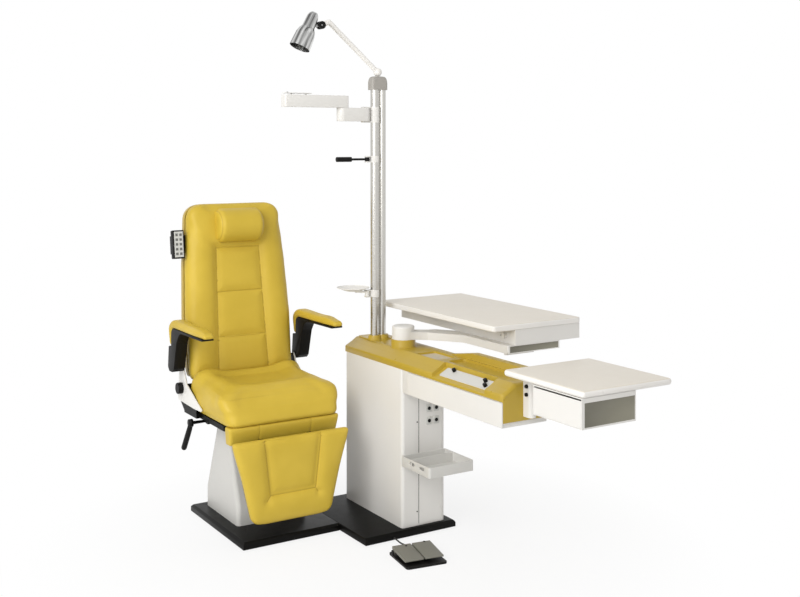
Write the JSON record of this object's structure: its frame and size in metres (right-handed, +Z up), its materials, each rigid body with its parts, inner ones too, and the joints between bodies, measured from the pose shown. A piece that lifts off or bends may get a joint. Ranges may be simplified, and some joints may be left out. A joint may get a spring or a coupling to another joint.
{
  "type": "ophthalmic examination chair unit",
  "caption": "Powered examination chair on a common base with an instrument stand, swinging tables, pole arm, lamp and foot switch.",
  "frame": {"origin": "on the floor under the axis of the chair's lift column", "axes": "+X towards the instrument stand, -Y the way the chair faces, +Z up"},
  "size_m": [1.38, 1.9769, 2.1944],
  "materials": {
    "base_black": "satin",
    "pad_rubber": "matt",
    "white_paint": "satin",
    "white_plastic": "satin",
    "steel": "brushed",
    "chrome": "polished",
    "upholstery": "soft grain",
    "yellow_mould": "semi gloss",
    "black_plastic": "matt",
    "grey_plastic": "satin",
    "pedal_grey": "satin",
    "table_laminate": "satin",
    "panel_grey": "satin",
    "bulb_glass": "frosted",
    "cord_black": "matt",
    "keys_rubber": "matt",
    "tray_white": "satin"
  },
  "bodies": {
    "base": {"chair_base_plate": "base_black", "stand_base_plate": "base_black", "levelling_pads": "pad_rubber", "pedestal_cover": "white_paint", "lift_outer_column": "steel", "lift_drive": "steel", "cabinet_shell": "white_paint", "service_panel": "white_paint", "socket_outlets": "black_plastic", "instrument_tray": "tray_white", "console_beam": "white_paint", "console_lid": "yellow_mould", "control_panel": "panel_grey", "pole_tubes": "steel", "pole_clamps": "white_paint", "pole_cap": "grey_plastic", "small_table_bracket": "white_paint", "foot_pedal_base": "base_black", "pedal_cord": "cord_black"},
    "lift": {"lift_inner_column": "steel"},
    "seat": {"swivel_plate": "base_black", "seat_frame": "base_black", "seat_cushion": "upholstery", "seat_valance": "upholstery", "side_cover_left": "white_plastic", "side_cover_right": "white_plastic"},
    "back": {"back_frame": "base_black", "back_cushion": "upholstery", "back_shell": "yellow_mould", "headrest_pillow": "upholstery", "handset": "black_plastic"},
    "keypad": {"handset_keys": "keys_rubber"},
    "recline_knobs": {"recline_pivot": "black_plastic"},
    "legrest": {"legrest_frame": "base_black", "legrest_cushion": "upholstery"},
    "armrest_left": {"armrest_arm_left": "black_plastic", "armrest_pad_left": "upholstery"},
    "armrest_right": {"armrest_arm_right": "black_plastic", "armrest_pad_right": "upholstery"},
    "swivel_lock": {"swivel_lock_lever": "black_plastic"},
    "console_drawer": {"lens_drawer": "white_paint"},
    "table_carrier": {"table_arm": "white_paint"},
    "large_table": {"large_table_top": "table_laminate", "large_table_apron": "white_paint"},
    "small_table": {"small_table_arm": "white_paint", "small_table_top": "table_laminate", "small_table_box": "white_paint"},
    "table_drawer": {"small_table_drawer": "white_paint"},
    "lamp_link": {"lamp_arm": "white_paint"},
    "lamp": {"lamp_head": "chrome", "lamp_bulb": "bulb_glass"},
    "arm_inner": {"phoropter_inner_arm": "white_paint"},
    "arm_outer": {"phoropter_outer_arm": "white_paint"},
    "handle": {"pole_handle": "black_plastic"},
    "dish": {"accessory_dish": "white_plastic"},
    "knob_rear": {"control_knob_rear": "black_plastic"},
    "knob_middle": {"control_knob_middle": "black_plastic"},
    "knob_front": {"control_knob_front": "black_plastic"},
    "pedal_left": {"foot_pedal_left": "pedal_grey"},
    "pedal_right": {"foot_pedal_right": "pedal_grey"}
  },
  "joints": [
    {"name": "lift", "type": "slide", "parent": "base", "child": "lift", "axis": [0, 0, 1], "range_m": [0, 0.2]},
    {"name": "swivel", "type": "hinge", "parent": "lift", "child": "seat", "pos_m": [0, 0, 0.446], "axis": [0, 0, -1], "range_deg": [-25, 180]},
    {"name": "recline", "type": "hinge", "parent": "seat", "child": "back", "pos_m": [0, 0.175, 0.558], "axis": [-1, 0, 0], "range_deg": [0, 60]},
    {"name": "keypad_press", "type": "slide", "parent": "back", "child": "keypad", "axis": [0, 0.9907, -0.1357], "range_m": [0, 0.001], "stiffness_N_per_m": 1500},
    {"name": "recline_knob_turn", "type": "hinge", "parent": "seat", "child": "recline_knobs", "pos_m": [0, 0.175, 0.558], "axis": [1, 0, 0], "continuous": true},
    {"name": "legrest_lift", "type": "hinge", "parent": "seat", "child": "legrest", "pos_m": [0, -0.322, 0.405], "axis": [-1, 0, 0], "range_deg": [0, 75]},
    {"name": "armrest_left_flip", "type": "hinge", "parent": "seat", "child": "armrest_left", "pos_m": [-0.3, 0.18, 0.652], "axis": [-1, 0, 0], "range_deg": [0, 85]},
    {"name": "armrest_right_flip", "type": "hinge", "parent": "seat", "child": "armrest_right", "pos_m": [0.3, 0.18, 0.652], "axis": [-1, 0, 0], "range_deg": [0, 85]},
    {"name": "swivel_lock_turn", "type": "hinge", "parent": "seat", "child": "swivel_lock", "pos_m": [-0.288, 0.033, 0.437], "axis": [1, 0, 0], "range_deg": [-8, 12]},
    {"name": "console_drawer_slide", "type": "slide", "parent": "base", "child": "console_drawer", "axis": [-1, 0, 0], "range_m": [0, 0.13]},
    {"name": "table_swing", "type": "hinge", "parent": "base", "child": "table_carrier", "pos_m": [0.512, -0.393, 0.785], "axis": [0, 0, 1], "range_deg": [-95, 8]},
    {"name": "table_slide", "type": "slide", "parent": "table_carrier", "child": "large_table", "axis": [0, 1, 0], "range_m": [-0.1, 0.1]},
    {"name": "small_table_swing", "type": "hinge", "parent": "base", "child": "small_table", "pos_m": [0.5175, -1.262, 0.766], "axis": [0, 0, 1], "range_deg": [-30, 60]},
    {"name": "table_drawer_slide", "type": "slide", "parent": "small_table", "child": "table_drawer", "axis": [-1, 0, 0], "range_m": [0, 0.15]},
    {"name": "lamp_turn", "type": "hinge", "parent": "base", "child": "lamp_link", "pos_m": [0.508, -0.184, 1.924], "axis": [0, 0, 1], "range_deg": [-150, 150]},
    {"name": "lamp_tilt", "type": "hinge", "parent": "lamp_link", "child": "lamp", "pos_m": [0.222, -0.184, 2.137], "axis": [0, 1, 0], "range_deg": [-35, 20]},
    {"name": "phoropter_shoulder", "type": "hinge", "parent": "base", "child": "arm_inner", "pos_m": [0.44, -0.184, 1.75], "axis": [0, 0, 1], "range_deg": [-30, 90]},
    {"name": "phoropter_elbow", "type": "hinge", "parent": "arm_inner", "child": "arm_outer", "pos_m": [0.327, -0.184, 1.7817], "axis": [0, 0, 1], "range_deg": [-100, 100]},
    {"name": "handle_turn", "type": "hinge", "parent": "base", "child": "handle", "pos_m": [0.454, -0.184, 1.555], "axis": [0, 0, 1], "range_deg": [-80, 80]},
    {"name": "dish_turn", "type": "hinge", "parent": "base", "child": "dish", "pos_m": [0.454, -0.184, 0.958], "axis": [0, 0, 1], "range_deg": [-5, 75]},
    {"name": "control_knob_rear_turn", "type": "hinge", "parent": "base", "child": "knob_rear", "pos_m": [0.46212, -0.853, 0.72862], "axis": [-0.4731, 0, 0.881], "range_deg": [-150, 150]},
    {"name": "control_knob_middle_turn", "type": "hinge", "parent": "base", "child": "knob_middle", "pos_m": [0.45888, -1.064, 0.72688], "axis": [-0.4731, 0, 0.881], "range_deg": [-150, 150]},
    {"name": "control_knob_front_turn", "type": "hinge", "parent": "base", "child": "knob_front", "pos_m": [0.43944, -1.088, 0.71644], "axis": [-0.4731, 0, 0.881], "range_deg": [-150, 150]},
    {"name": "pedal_left_press", "type": "hinge", "parent": "base", "child": "pedal_left", "pos_m": [0.296, -0.72806, 0.02], "axis": [0.989, -0.1478, 0], "range_deg": [0, 3], "stiffness_Nm_per_rad": 4},
    {"name": "pedal_right_press", "type": "hinge", "parent": "base", "child": "pedal_right", "pos_m": [0.38006, -0.74062, 0.02], "axis": [0.989, -0.1478, 0], "range_deg": [0, 3], "stiffness_Nm_per_rad": 4}
  ],
  "couplings": [
    {"joint": "legrest_lift", "follows": "recline", "ratio": 1.25}
  ]
}
